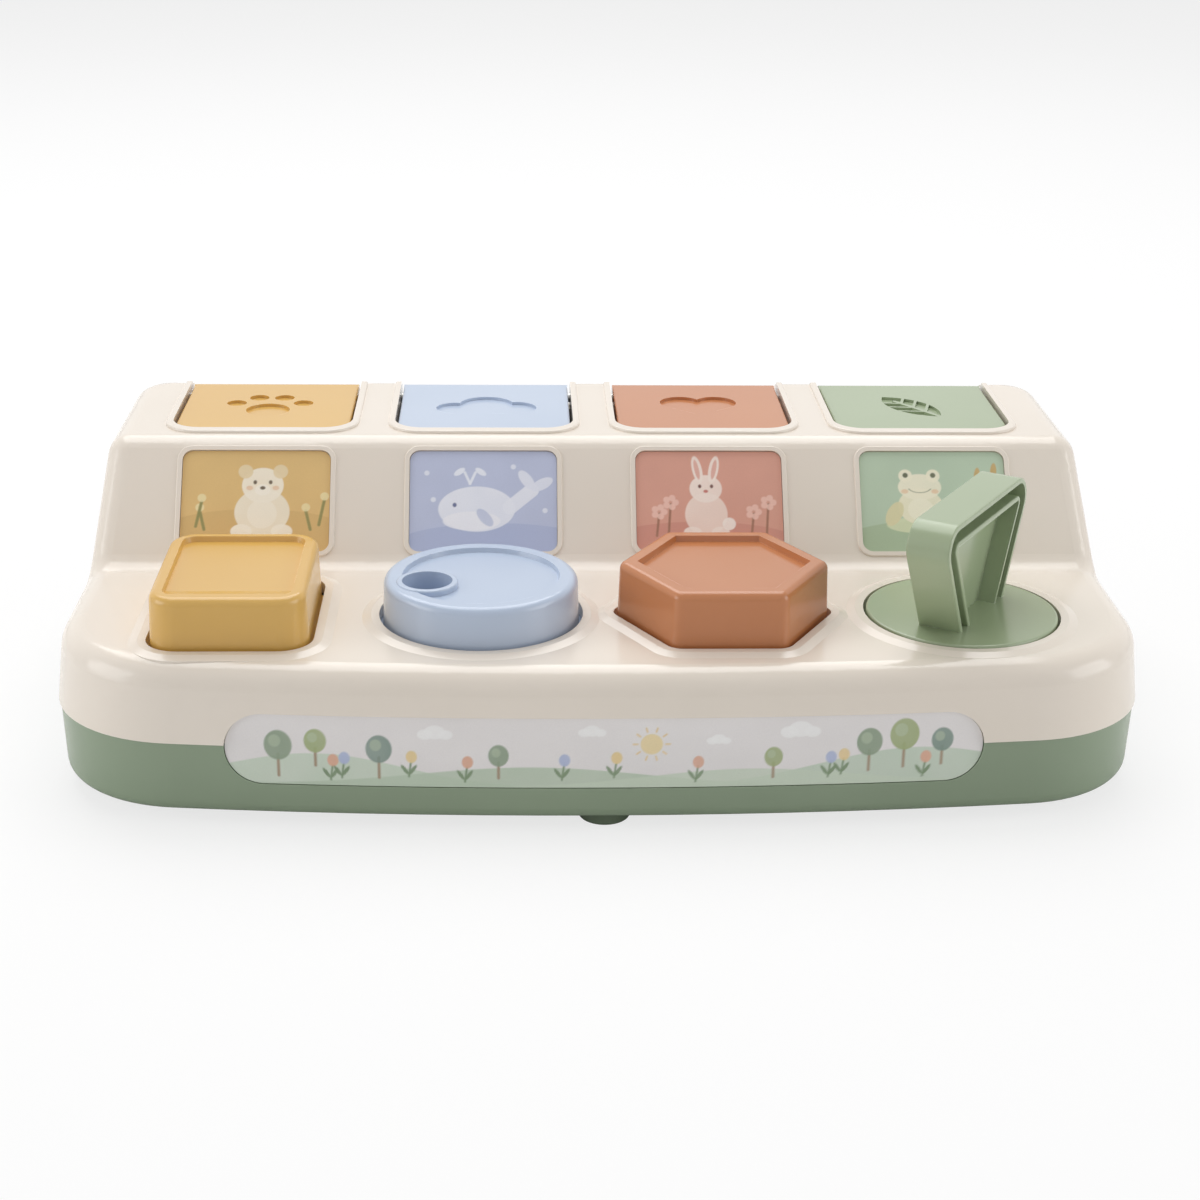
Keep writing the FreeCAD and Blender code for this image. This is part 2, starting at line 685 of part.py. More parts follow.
for i, x in enumerate(unit_x):
    plate = lid_outline(x, 0, hinge_y, lid_under).extrude(V(0, 0, lid_t))
    rim = [e for e in edges_at(plate, top_z) if e.CenterOfMass.y < hinge_y - 0.5]
    plate = plate.makeFillet(0.7, rim)
    barrel = cyl_x(x - lid_w, x + lid_w, hinge_y, hinge_z, hinge_r)
    lid = fuse_all([plate, barrel])
    low = top_z - lid_skirt
    skirt = lid_outline(x, 0, hinge_y, low).extrude(V(0, 0, lid_skirt - lid_t + 0.2))
    skirt = skirt.cut(lid_outline(x, lid_skirt_t, hinge_y + 1, low - 1).extrude(V(0, 0, 9)))
    hook = box(x - hook_w / 2, x + hook_w / 2, hook_y, hook_y + hook_t, hook_low_z, lid_under + 0.2)
    barb_pts = [(hook_y + 0.2, hook_low_z), (hook_y - barb * 0.3, hook_low_z),
                (hook_y - barb, hook_low_z + barb_h * 0.6), (hook_y - barb, hook_low_z + barb_h),
                (hook_y + 0.2, hook_low_z + barb_h)]
    claw = prism_yz(barb_pts, x - hook_w / 2, x + hook_w / 2)
    lid = fuse_all([lid, skirt, hook, claw])
    gap = hinge_mid / 2
    lid = lid.cut(cyl_x(x - gap, x + gap, hinge_y, hinge_z, pin_r + 1.3))
    lid = lid.cut(box(x - gap, x + gap, hinge_y - hinge_r - 1, hinge_y + hinge_r + 1, hinge_z - hinge_r - 1,
                      hinge_z + 0.3))
    lid = lid.cut(box(x - gap, x + gap, hinge_y - hinge_r - 1, hinge_y, hinge_z - 1, lid_under))
    lid = lid.cut(cyl_x(x - lid_w - 1, x + lid_w + 1, hinge_y, hinge_z, pin_r + pin_gap))
    for m in motif(i, x):
        lid = lid.cut(m)
    save(one_solid(lid), "lid_" + str(i + 1))


# Figures that stand up with the lids: bear, whale, rabbit and frog, as smooth pebble shapes
def pebble(x, y, r, h, edge):
    p = cyl(x, y, lid_under - h, lid_under, r)
    return p.makeFillet(edge, edges_at(p, lid_under - h))


figures = {
    1: [(0, 59, 11.4, 8, 4.2), (0, 46.5, 9.4, 10, 4.4), (-7.2, 39.6, 3.6, 6.5, 2.4), (7.2, 39.6, 3.6, 6.5, 2.4),
        (0, 48.6, 4.0, 12, 1.8), (-10.6, 56, 3.6, 10, 2.6), (10.6, 56, 3.6, 10, 2.6),
        (-7.5, 66.6, 4.2, 10, 2.8), (7.5, 66.6, 4.2, 10, 2.8)],
    2: [(-4, 58, 12.0, 10, 5.0), (6.5, 55, 8.4, 9.0, 4.0), (12.2, 49.5, 5.4, 8, 3.2), (14.0, 44.5, 3.6, 7, 2.4),
        (10.6, 41, 3.4, 6, 2.2), (17.2, 41, 3.4, 6, 2.2), (-1, 66.5, 4.0, 11.5, 2.4)],
    3: [(0, 60, 10.6, 8, 4.2), (0, 49.5, 8.6, 10, 4.2), (-4.2, 42.5, 3.1, 7.4, 2.4), (4.2, 42.5, 3.1, 7.4, 2.4),
        (-4.9, 39.5, 3.1, 6.6, 2.4), (4.9, 39.5, 3.1, 6.6, 2.4), (0, 51.4, 3.0, 11.2, 1.6),
        (-6.5, 66.6, 4.2, 10, 2.8), (6.5, 66.6, 4.2, 10, 2.8)],
    4: [(0, 59.5, 11.2, 8.4, 4.4), (-4.5, 49, 8.0, 10, 4.2), (4.5, 49, 8.0, 10, 4.2), (-7.4, 41.5, 4.0, 9, 3.0),
        (7.4, 41.5, 4.0, 9, 3.0), (-12, 66.0, 4.4, 7, 2.8), (12, 66.0, 4.4, 7, 2.8)],
}
for i, x in enumerate(unit_x):
    blobs = [pebble(x + dx, y, r, h, edge) for dx, y, r, h, edge in figures[i + 1]]
    save(one_solid(fuse_all(blobs)), "figure_" + str(i + 1))

# Hinge springs on the lid pins
for i, x in enumerate(unit_x):
    turns = 5 - 35.0 / 360
    body = coil_wire(pin_r + 0.2 + wire_r, 2 * wire_r + 0.25, -150, turns, -1, 7.4, 6.2)
    body.translate(V(0, 0, -(2 * wire_r + 0.25) * turns / 2))
    # the coil's own X, Y, Z become the toy's Y, Z, X
    turn = FreeCAD.Matrix(0, 0, 1, x, 1, 0, 0, hinge_y, 0, 1, 0, hinge_z, 0, 0, 0, 1)
    body.transformShape(turn)
    save(body, "lid_spring_" + str(i + 1))


# Caps of the controls: drafted skirt, rounded top edge, sunk top, flange under the deck
def cap(kind, rim, recess, top_round):
    g = gaps[kind]
    top = tops[kind]
    draft = cap_draft * (top - skirt_z) / (hex_top_z - skirt_z)
    body = control_prism(kind, -g, skirt_z, -g - draft, top)
    body = body.makeFillet(top_round, edges_at(body, top))
    flange = control_prism(kind, -g + flange_out, skirt_z, -g + flange_out, skirt_z + flange_t)
    roof = top - recess - cap_wall
    hollow = control_prism(kind, -g - cap_wall, skirt_z - 1, -g - draft - cap_wall, roof)
    body = fuse_all([body, flange]).cut(hollow)
    if recess > 0:
        sink = control_prism(kind, -g - draft - rim - 0.4, top - recess, -g - draft - rim, top + 0.001)
        if kind == "key":
            y0 = ctrl_y - key_hole_l / 2 + g + rim + 1.5
            ramp = prism_yz([(y0 - 9, top + 1), (y0, top + 0.001), (y0 + 6.0, top - recess), (y0 + 90, top - recess),
                             (y0 + 90, top + 1)], unit_x[0] - 60, unit_x[0] + 60)
            sink = sink.common(ramp)
        body = body.cut(sink)
    return one_solid(body), roof


def hub(x, z0, roof, bore_top):
    body = cyl(x, ctrl_y, z0, roof + 0.5, hub_r)
    return body, cyl(x, ctrl_y, z0 - 1, bore_top, post_r + hub_gap)


def ribs(x, reach, z0, roof):
    out = []
    for k in range(4):
        rib = box(hub_r - 0.5, reach, -0.8, 0.8, z0, roof + 0.5)
        rib.rotate(V(0, 0, 0), V(0, 0, 1), 45 + 90 * k)
        rib.translate(V(x, ctrl_y, 0))
        out.append(rib)
    return out


# Rocking key
body, roof = cap("key", key_rim, key_recess, cap_round)
x = unit_x[0]
back_cut = box(x - 60, x + 60, key_axis_y - 1, key_axis_y + 60, skirt_z - 1, skirt_z + flange_t + 0.001)
keep = control_prism("key", -key_gap, skirt_z - 2, -key_gap, skirt_z + flange_t + 1)
body = body.cut(back_cut.cut(keep))
skirt_in = key_hole_w / 2 - key_gap - cap_wall
adds = []
cuts = []
within = control_prism("key", -key_gap - 0.5, key_axis_z - 5, -key_gap - 0.5, skirt_z + 9)
for sx in (-1, 1):
    ex = x + sx * (skirt_in - 1.0)
    ear = box(ex - 2, ex + 2, key_axis_y - 3.4, key_axis_y + 3.4, key_axis_z, skirt_z + 8)
    adds.append(ear.fuse(cyl_x(ex - 2, ex + 2, key_axis_y, key_axis_z, 3.4)).common(within))
    cuts.append(cyl_x(ex - 5, ex + 5, key_axis_y, key_axis_z, key_pin_r + pin_gap))
# the wedge under the key drives the sliding bar forwards as the key goes down
swing = math.radians(key_swing)
ramp_y = ctrl_y - 6.7
ramp_z = 28.0
down = (key_axis_y - ramp_y) * swing
back = (key_axis_z - ramp_z) * swing
ramp_slope = down / (latch_travel + back)


def ramp_at(y, lift):
    return ramp_z - (y - ramp_y) * ramp_slope + lift


adds.append(prism_yz([(ramp_y - 3, ramp_at(ramp_y - 3, 0.7)), (ramp_y + 3, ramp_at(ramp_y + 3, 0.7)),
                      (ramp_y + 3, roof + 0.5), (ramp_y - 3, roof + 0.5)], x - 2, x + 2))
key_tube_z = 24.0
adds.append(cyl(x, key_spring_y, key_tube_z, roof + 0.5, key_tube_r))
cuts.append(cyl(x, key_spring_y, key_tube_z - 1, roof - 4, 3.9))
body = fuse_all([body] + adds)
for c in cuts:
    body = body.cut(c)
save(one_solid(body), "key_cap")
reach = ear_in + 3.0
save(cyl_x(x - reach, x + reach, key_axis_y, key_axis_z, key_pin_r), "key_pin")
ks_low = floor_z + spring_gap + wire_r
ks_high = key_tube_z - spring_gap - wire_r
body = coil_wire(3.2 + 0.5 + wire_r, (ks_high - ks_low) / 7.0, 0, 7.0, 1, 0, 0)
body.translate(V(x, key_spring_y, ks_low))
save(body, "key_spring")

# Turning dial, with the finger cup
body, roof = cap("dial", dial_rim, dial_recess, cap_round)
x = unit_x[1]


# the cam's radius grows evenly with the turn, so the bar moves evenly
def cam(x, turn_deg):
    pts = []
    for k in range(72):
        t = k * 5.0 - 20.0
        if t <= 0:
            r = cam_r
        elif t <= turn_deg:
            r = cam_r + latch_travel * t / turn_deg
        elif t <= turn_deg + 25:
            r = cam_r + latch_travel
        else:
            r = cam_r + latch_travel * (340 - t) / (315 - turn_deg)
        a = math.radians(-90 + t)
        pts.append(V(x + r * math.cos(a), ctrl_y + r * math.sin(a), cam_z))
    return Part.Face(Part.makePolygon(pts + pts[:1])).extrude(V(0, 0, cam_t))


def fin(x):
    edge = x + hub_coil_r - wire_r - spring_gap
    z0 = spring_z + hub_coil_turns * hub_coil_pitch
    return box(edge - 2, edge, ctrl_y + 3, ctrl_y + 9, z0 - 0.3, z0 + 2.5)


hub_coil_turns = 3.5
hub_coil_pitch = 2 * wire_r + 0.45
stem, bore = hub(x, cam_z, roof, skirt_z - 2)
cup_x = x + finger_x
cup_y = ctrl_y + finger_y
cup = cyl(cup_x, cup_y, dial_top_z - finger_depth - finger_wall, dial_top_z + 0.4, finger_r + finger_wall)
cup = cup.makeFillet(0.6, edges_at(cup, dial_top_z + 0.4))
well = cyl(cup_x, cup_y, dial_top_z - finger_depth, dial_top_z + 3, finger_r)
body = fuse_all([body, stem, cam(x, dial_turn), fin(x), cup] + ribs(x, dial_hole_r - dial_gap - 2, roof - 7, roof))
body = one_solid(body.cut(bore).cut(well))
save(body, "dial")

# Six-sided push button
body, roof = cap("hex", hex_rim, hex_recess, cap_round)
x = unit_x[2]
hex_hub_z = 20.0
stem, bore = hub(x, hex_hub_z, roof, skirt_z + hex_press - 2)
hex_ramp_y = ctrl_y + hub_r + latch_travel + 1.0
hex_ramp_z = 26.0
hex_slope = hex_press / latch_travel
tip_z = hex_hub_z
tip_y = hex_ramp_y + (hex_ramp_z + 0.8 - tip_z) / hex_slope
wedge = prism_yz([(tip_y, tip_z), (tip_y + 2.6, tip_z), (tip_y + 2.6, roof + 0.5), (hex_ramp_y, roof + 0.5),
                  (hex_ramp_y, hex_ramp_z + 0.8)], x - 2, x + 2)
body = fuse_all([body, stem, wedge] + ribs(x, hex_hole_r * 0.8, roof - 8, roof))
save(one_solid(body.cut(bore)), "hex_button")
hs_low = floor_z + spring_gap + wire_r
hs_high = hex_hub_z - spring_gap - wire_r
body = coil_wire(post_r + 0.6 + wire_r, (hs_high - hs_low) / 6.0, 0, 6.0, 1, 0, 0)
body.translate(V(x, ctrl_y, hs_low))
save(body, "hex_spring")

# Twist knob: a flat disc with a flared handle made of two bands and a web
body, roof = cap("knob", 0, 0, 0.8)
x = unit_x[3]
flare = math.radians(handle_flare)


def handle_prism(off, corner, half_w):
    foot = handle_foot - off / math.cos(flare)
    low = -1.0
    high = handle_h - off
    x0 = foot + low * math.tan(flare)
    x1 = foot + high * math.tan(flare)
    flat = round_wire([(-x0, low), (x0, low), (x1, high), (-x1, high)], [0, 0, corner, corner], -half_w)
    return Part.Face(flat).extrude(V(0, 0, 2 * half_w))


def band(off, thick, corner):
    out = handle_prism(off, corner, handle_w / 2)
    rim = [e for e in out.Edges if abs(abs(e.CenterOfMass.z) - handle_w / 2) < 1e-3 and e.CenterOfMass.y > 0]
    out = out.makeFillet(0.45, rim)
    inside = handle_prism(off + thick, max(corner - thick, 0.6), handle_w)
    inside.translate(V(0, 0, 0))
    return out.cut(inside)


inner_off = handle_t + inner_gap
handle = fuse_all([band(0, handle_t, handle_round), band(inner_off, inner_t, inner_round),
                   handle_prism(handle_t / 2, handle_round - handle_t / 2, web_t / 2)])
handle.rotate(V(0, 0, 0), V(1, 0, 0), 90)
handle.rotate(V(0, 0, 0), V(0, 0, 1), handle_deg)
handle.translate(V(x, ctrl_y, knob_top_z))
stem, bore = hub(x, cam_z, roof, skirt_z - 2)
body = fuse_all([body, stem, cam(x, knob_turn), fin(x), handle] + ribs(x, knob_hole_r - knob_gap - 2, skirt_z, roof))
save(one_solid(body.cut(bore)), "twist_knob")

# Return springs around the hubs of the dial and the knob
for node, sx in (("dial_spring", unit_x[1]), ("knob_spring", unit_x[3])):
    body = coil_wire(hub_coil_r, hub_coil_pitch, 180, hub_coil_turns, 1, 17.0, 8.0)
    body.translate(V(sx, ctrl_y, spring_z))
    save(body, node)

# Sliding catches
for i, x in enumerate(unit_x):
    bar_top = latch_z + latch_t
    half = latch_w / 2
    end_y = arm_y + arm_t
    pieces = [box(x - half, x + half, arm_y, end_y, latch_z, nose_z + nose_h),
              box(x - hook_w / 2, x + hook_w / 2, arm_y, nose_tip_y, nose_z, nose_z + nose_h),
              prism_yz([(arm_y - 12, bar_top - 0.1), (arm_y + 0.5, bar_top + 16), (arm_y + 0.5, bar_top - 0.1)],
                       x - 1, x + 1)]
    cut = None
    if i == 0:
        front = ramp_y - 3.2
        low = ramp_at(ramp_y + 4.0, 0)
        pieces.append(prism_yz([(front, latch_z + 0.5), (front, ramp_at(front, 0)), (ramp_y + 4.0, low),
                                (ramp_y + 4.0, latch_z + 0.5)], x - 3, x + 3))
    elif i == 2:
        front = hex_ramp_y
        low_y = hex_ramp_y + 5.0
        pieces.append(prism_yz([(front, latch_z + 0.5), (front, hex_ramp_z),
                                (low_y, hex_ramp_z - (low_y - hex_ramp_y) * hex_slope), (low_y, latch_z + 0.5)],
                               x - 3, x + 3))
    else:
        nose_r = 2.5
        nose_y = ctrl_y - cam_r - cam_gap - nose_r
        slot_w = hub_r + 0.6
        slot_end = ctrl_y + slot_w + latch_travel
        front = nose_y - nose_r - 1.5
        pieces.append(box(x - slot_w - 3.5, x + slot_w + 3.5, front, slot_end + 3.5, latch_z, bar_top))
        pieces.append(cyl(x, nose_y, bar_top - 0.5, cam_z + cam_t, nose_r))
        cut = box(x - slot_w, x + slot_w, ctrl_y - slot_w, slot_end, latch_z - 1, bar_top + 1)
        front = slot_end + 1
    pieces.append(box(x - half, x + half, front, end_y, latch_z, bar_top))
    bar = fuse_all(pieces)
    if cut is not None:
        bar = bar.cut(cut)
    save(one_solid(bar), "latch_" + str(i + 1))
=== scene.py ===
import bpy
import math
import numpy as np
from mathutils import Matrix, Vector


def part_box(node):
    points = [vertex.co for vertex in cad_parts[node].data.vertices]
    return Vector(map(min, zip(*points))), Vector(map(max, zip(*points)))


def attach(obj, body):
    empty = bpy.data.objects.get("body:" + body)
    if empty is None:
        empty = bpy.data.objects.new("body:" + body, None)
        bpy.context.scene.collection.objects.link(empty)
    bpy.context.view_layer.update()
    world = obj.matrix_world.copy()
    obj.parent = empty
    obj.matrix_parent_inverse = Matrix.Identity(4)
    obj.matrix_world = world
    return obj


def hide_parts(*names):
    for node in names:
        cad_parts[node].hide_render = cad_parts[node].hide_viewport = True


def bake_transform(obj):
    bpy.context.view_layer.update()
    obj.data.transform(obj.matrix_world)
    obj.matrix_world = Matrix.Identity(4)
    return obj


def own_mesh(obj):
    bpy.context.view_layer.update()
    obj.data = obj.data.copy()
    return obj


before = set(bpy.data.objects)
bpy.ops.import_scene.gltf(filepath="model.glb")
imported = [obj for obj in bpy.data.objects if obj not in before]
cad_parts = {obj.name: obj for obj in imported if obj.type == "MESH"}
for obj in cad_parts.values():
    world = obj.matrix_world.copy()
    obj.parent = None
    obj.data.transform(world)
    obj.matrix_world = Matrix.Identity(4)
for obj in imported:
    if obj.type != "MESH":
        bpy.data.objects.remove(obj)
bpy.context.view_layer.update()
MM = 0.001


# Top shell: one injection moulding in warm cream ABS, 2.6 mm thick, polished in the mould.
# It drops over the tray's lip and is held by screws from below, so nothing shows on top.
def linear(hex_colour):
    """sRGB hex to linear: each channel c is ((c + 0.055) / 1.055) ** 2.4 above 0.04, else c / 12.92."""
    h = hex_colour.lstrip("#")
    c = np.array([int(h[i:i + 2], 16) / 255 for i in (0, 2, 4)])
    return tuple(np.where(c > 0.04045, ((c + 0.055) / 1.055) ** 2.4, c / 12.92)) + (1.0,)


def add_node(tree, kind, settings=None, links=None):
    """Adds a node, sets its properties and inputs, and links (node, output) pairs to its inputs."""
    n = tree.nodes.new(kind)
    for key, value in (settings or {}).items():
        if isinstance(key, str) and hasattr(n, key):
            setattr(n, key, value)
        else:
            n.inputs[key].default_value = value
    for key, (source, out) in (links or {}).items():
        tree.links.new(source.outputs[out], n.inputs[key])
    return n


def noise(tree, where, scale, detail):
    """Cloudy pattern fixed to the piece, with about this many patches to a metre."""
    return add_node(tree, "ShaderNodeTexNoise", {"Scale": scale, "Detail": detail},
                    {"Vector": (where, "Object")})


def moulded_abs(name, colour, deep, worn, roughness):
    """ABS from a polished mould: even colour with a faint cloudy drift where the melt flowed,
    a fine orange-peel skin about 0.6 mm across, dull patches a few centimetres wide from hands,
    and edges rubbed paler and duller over about 0.7 mm, in broken stretches."""
    m = bpy.data.materials.new(name)
    m.use_nodes = True
    t = m.node_tree
    p = t.nodes["Principled BSDF"]
    p.inputs["IOR"].default_value = 1.53
    where = add_node(t, "ShaderNodeTexCoord")
    flow = noise(t, where, 14.0, 2.0)
    drift = add_node(t, "ShaderNodeMapRange", {"From Min": 0.3, "From Max": 0.7},
                     {"Value": (flow, "Fac")})
    body = add_node(t, "ShaderNodeMix", {"data_type": "RGBA", 6: linear(colour), 7: linear(deep)},
                    {0: (drift, "Result")})
    soft = add_node(t, "ShaderNodeBevel", {"samples": 4, "Radius": 0.7 * MM})
    true = add_node(t, "ShaderNodeNewGeometry")
    turn = add_node(t, "ShaderNodeVectorMath", {"operation": "DOT_PRODUCT"},
                    {0: (soft, "Normal"), 1: (true, "Normal")})
    edge = add_node(t, "ShaderNodeMapRange", {"From Min": 0.95, "From Max": 0.78},
                    {"Value": (turn, "Value")})
    rub = noise(t, where, 90.0, 4.0)
    broken = add_node(t, "ShaderNodeMapRange", {"From Min": 0.42, "From Max": 0.66, "To Max": 0.7},
                      {"Value": (rub, "Fac")})
    rubbed = add_node(t, "ShaderNodeMath", {"operation": "MULTIPLY"},
                      {0: (edge, "Result"), 1: (broken, "Result")})
    coat = add_node(t, "ShaderNodeMix", {"data_type": "RGBA", 7: linear(worn)},
                    {0: (rubbed, "Value"), 6: (body, 2)})
    t.links.new(coat.outputs[2], p.inputs["Base Color"])
    hands = noise(t, where, 38.0, 3.0)
    dull = add_node(t, "ShaderNodeMapRange", {"To Min": roughness - 0.03, "To Max": roughness + 0.05},
                    {"Value": (hands, "Fac")})
    matt = add_node(t, "ShaderNodeMath", {"operation": "MULTIPLY_ADD", 1: 0.25},
                    {0: (rubbed, "Value"), 2: (dull, "Result")})
    t.links.new(matt.outputs["Value"], p.inputs["Roughness"])
    peel = noise(t, where, 1600.0, 1.0)
    bump = add_node(t, "ShaderNodeBump", {"Strength": 0.05, "Distance": 0.1 * MM},
                    {"Height": (peel, "Fac")})
    t.links.new(bump.outputs["Normal"], p.inputs["Normal"])
    return m


def coat_node(node_name, material):
    """Gives a CAD node its finish in every material slot."""
    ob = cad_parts[node_name]
    if not ob.data.materials:
        ob.data.materials.append(material)
    for slot in ob.material_slots:
        slot.material = material


cream = moulded_abs("cream_moulded_abs", "#eae0d4", "#e6dccf", "#efe7dc", 0.17)
coat_node("top_case", cream)

# Tray: sage green ABS moulding that carries the posts, the guides and the seats of the feet.
# It is darker than the shell and stands half a millimetre back from it at the seam.
sage = moulded_abs("sage_moulded_abs", "#8b9b82", "#85957c", "#9cab95", 0.24)
coat_node("base_tray", sage)

# Bays: four open boxes in cream ABS under the lids. Their walls reach up to the shell's upper
# surface, and they are a little duller than the shell because nobody polishes that mould.
bay_cream = moulded_abs("bay_cream_abs", "#e6ddd0", "#e1d8ca", "#ece5da", 0.32)
for i in range(1, 5):
    coat_node("bay_tub_%d" % i, bay_cream)

# Lids and controls: each unit has one ABS colour, used for its lid, its control and its figure.
# The lids show a shallow pressed motif and the controls a sunk top with a rounded rim.
# Each row: name, colour, colour where the melt flowed, colour of a rubbed edge.
unit_colours = [("yellow", "#dcb160", "#d7ab59", "#e6c586"), ("blue", "#bcc9dd", "#b6c4d9", "#cdd7e6"),
                ("orange", "#c68254", "#c07c4f", "#d49f79"), ("green", "#a3b191", "#9dab8a", "#b8c4a9")]
unit_abs = [moulded_abs(n + "_moulded_abs", a, b, c, 0.19) for n, a, b, c in unit_colours]
lid_bodies = ["lid_%s_body" % row[0] for row in unit_colours]
controls = ["key_cap", "dial", "hex_button", "twist_knob"]
for i, (control, finish) in enumerate(zip(controls, unit_abs), 1):
    coat_node("lid_%d" % i, finish)
    coat_node(control, finish)
    coat_node("figure_%d" % i, finish)


# Pins and screws: steel with a bright zinc plating. The pins carry the lids and the key, and the
# screws hold the tray to the shell from below.
def zinc_steel(name, colour, roughness):
    """Zinc-plated steel: grey-white metal, blotchy gloss about 2 mm across from the plating bath."""
    m = bpy.data.materials.new(name)
    m.use_nodes = True
    t = m.node_tree
    p = t.nodes["Principled BSDF"]
    p.inputs["Base Color"].default_value = linear(colour)
    p.inputs["Metallic"].default_value = 1.0
    where = add_node(t, "ShaderNodeTexCoord")
    bath = noise(t, where, 450.0, 3.0)
    gloss = add_node(t, "ShaderNodeMapRange", {"To Min": roughness - 0.08, "To Max": roughness + 0.1},
                     {"Value": (bath, "Fac")})
    t.links.new(gloss.outputs["Result"], p.inputs["Roughness"])
    return m


plated = zinc_steel("zinc_plated_steel", "#c9c8c4", 0.32)
for n in ("key_pin", "case_screws", "lid_pin_1", "lid_pin_2", "lid_pin_3", "lid_pin_4"):
    coat_node(n, plated)


# Springs: plated wire, wound as the solids are. In the toy the two under the key and the button get
# shorter and the others have one leg held by the case and the other by the piece that moves; here each
# spring is a still copy of its solid's mesh, and the first two hang on the case.
def wound_spring(node_name):
    """The spring's own mesh as a free piece, standing for the solid of the same name."""
    ob = bpy.data.objects.new(node_name + "_wire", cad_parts[node_name].data.copy())
    ob.data.materials.clear()
    ob.data.materials.append(plated)
    bpy.context.scene.collection.objects.link(ob)
    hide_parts(node_name)
    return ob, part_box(node_name)


# node, joint, share of its length that is left at the joint's limit
for node_name, joint, keep in (("key_spring", "key_rock", 0.776),
                               ("hex_spring", "button_press", 0.538)):
    ob, (low, high) = wound_spring(node_name)
    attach(ob, "case")
    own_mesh(ob)
for node_name, body in (("dial_spring", "dial_body"), ("knob_spring", "knob")):
    ob, (low, high) = wound_spring(node_name)
    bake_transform(ob)
for i, body in enumerate(lid_bodies, 1):
    ob, (low, high) = wound_spring("lid_spring_%d" % i)
    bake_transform(ob)


# Feet and sliding catches: grey-green rubber pads glued into the tray, of which one shows under
# the front edge, and slides in natural white acetal that run in the tray's guides.
def soft_rubber(name, colour, dusty):
    """Moulded rubber: matt, with a fine grain about 0.4 mm across and a dusty paler bloom."""
    m = bpy.data.materials.new(name)
    m.use_nodes = True
    t = m.node_tree
    p = t.nodes["Principled BSDF"]
    p.inputs["Roughness"].default_value = 0.72
    p.inputs["IOR"].default_value = 1.52
    where = add_node(t, "ShaderNodeTexCoord")
    bloom = noise(t, where, 120.0, 4.0)
    dust = add_node(t, "ShaderNodeMapRange", {"From Min": 0.45, "From Max": 0.8, "To Max": 0.4},
                    {"Value": (bloom, "Fac")})
    tint = add_node(t, "ShaderNodeMix", {"data_type": "RGBA", 6: linear(colour), 7: linear(dusty)},
                    {0: (dust, "Result")})
    t.links.new(tint.outputs[2], p.inputs["Base Color"])
    grain = noise(t, where, 2500.0, 2.0)
    bump = add_node(t, "ShaderNodeBump", {"Strength": 0.2, "Distance": 0.1 * MM},
                    {"Height": (grain, "Fac")})
    t.links.new(bump.outputs["Normal"], p.inputs["Normal"])
    return m


coat_node("foot_pads", soft_rubber("grey_green_rubber", "#66745f", "#8b9485"))
acetal = moulded_abs("white_acetal", "#e4e4e0", "#dedfda", "#ecece9", 0.4)
for i in range(1, 5):
    coat_node("latch_%d" % i, acetal)


# Eyes and noses of the four figures: glossy black-brown beads pressed into the moulding.
# Each is a low dome that stands on the figure's face, which looks down while the lid is shut.
def mesh_piece(name, verts, faces, body, material):
    """A smooth shaded mesh riding on a body, from points in mm and lists of corners."""
    me = bpy.data.meshes.new(name)
    me.from_pydata((verts * MM).tolist(), [], faces)
    me.polygons.foreach_set("use_smooth", np.ones(len(me.polygons), dtype=bool))
    me.materials.append(material)
    me.update()
    ob = bpy.data.objects.new(name, me)
    bpy.context.scene.collection.objects.link(ob)
    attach(ob, body)
    return ob


def grid_faces(rows, cols, wrap):
    """Quads of a grid of points, row after row; wrap joins the last column to the first."""
    r = np.arange(rows - 1)[:, None]
    c = np.arange(cols if wrap else cols - 1)[None, :]
    a = r * cols + c
    b = r * cols + (c + 1) % cols
    return np.stack([a, b, b + cols, a + cols], axis=-1).reshape(-1, 4).tolist()


def bead(x0, y0, z0, radius, rise):
    """Dome that hangs down: at the angle a from its tip the depth is rise cos a and the width is
    radius sin a. A small fan closes the tip and a flat one closes the back."""
    rings, around = 9, 24
    a = np.linspace(0.02, math.pi / 2, rings)[:, None]
    b = np.linspace(0, 2 * math.pi, around, endpoint=False)[None, :]
    dome = np.stack([x0 + radius * np.sin(a) * np.cos(b), y0 - radius * np.sin(a) * np.sin(b),
                     z0 - rise * np.cos(a) + 0 * b], axis=-1).reshape(-1, 3)
    k = np.arange(around)
    after = (k + 1) % around
    last = (rings - 1) * around
    tip = np.stack([0 * k + len(dome), after, k], axis=-1)
    back = np.stack([0 * k + len(dome) + 1, last + k, last + after], axis=-1)
    verts = np.vstack([dome, [[x0, y0, z0 - rise]], [[x0, y0, z0]]])
    return verts, grid_faces(rings, around, True) + tip.tolist() + back.tolist()


bead_black = moulded_abs("black_bead_abs", "#2c2622", "#241f1c", "#3a332e", 0.12)
lid_under = 77.0            # height of the lid plate's underside
sunk = 0.35                 # how far a bead reaches into the face
unit_x = [68.0 * (i - 1.5) for i in range(4)]
# per figure: x from the unit's middle, y, depth of the face below the lid plate, radius
spots = [[(-3.9, 44.6, 9.9, 1.15), (3.9, 44.6, 9.9, 1.15), (0.0, 47.6, 11.9, 1.5)],
         [(-9.0, 55.0, 9.9, 1.2)],
         [(-3.2, 47.8, 9.9, 1.1), (3.2, 47.8, 9.9, 1.1), (0.0, 50.4, 11.1, 0.9)],
         [(-7.4, 41.3, 8.9, 1.5), (7.4, 41.3, 8.9, 1.5)]]
for i, face in enumerate(spots):
    for k, (dx, y, depth, r) in enumerate(face):
        verts, faces = bead(unit_x[i] + dx, y, lid_under - depth + sunk, r, r * 0.75 + sunk)
        mesh_piece("figure_%d_bead_%d" % (i + 1, k + 1), verts, faces, lid_bodies[i], bead_black)


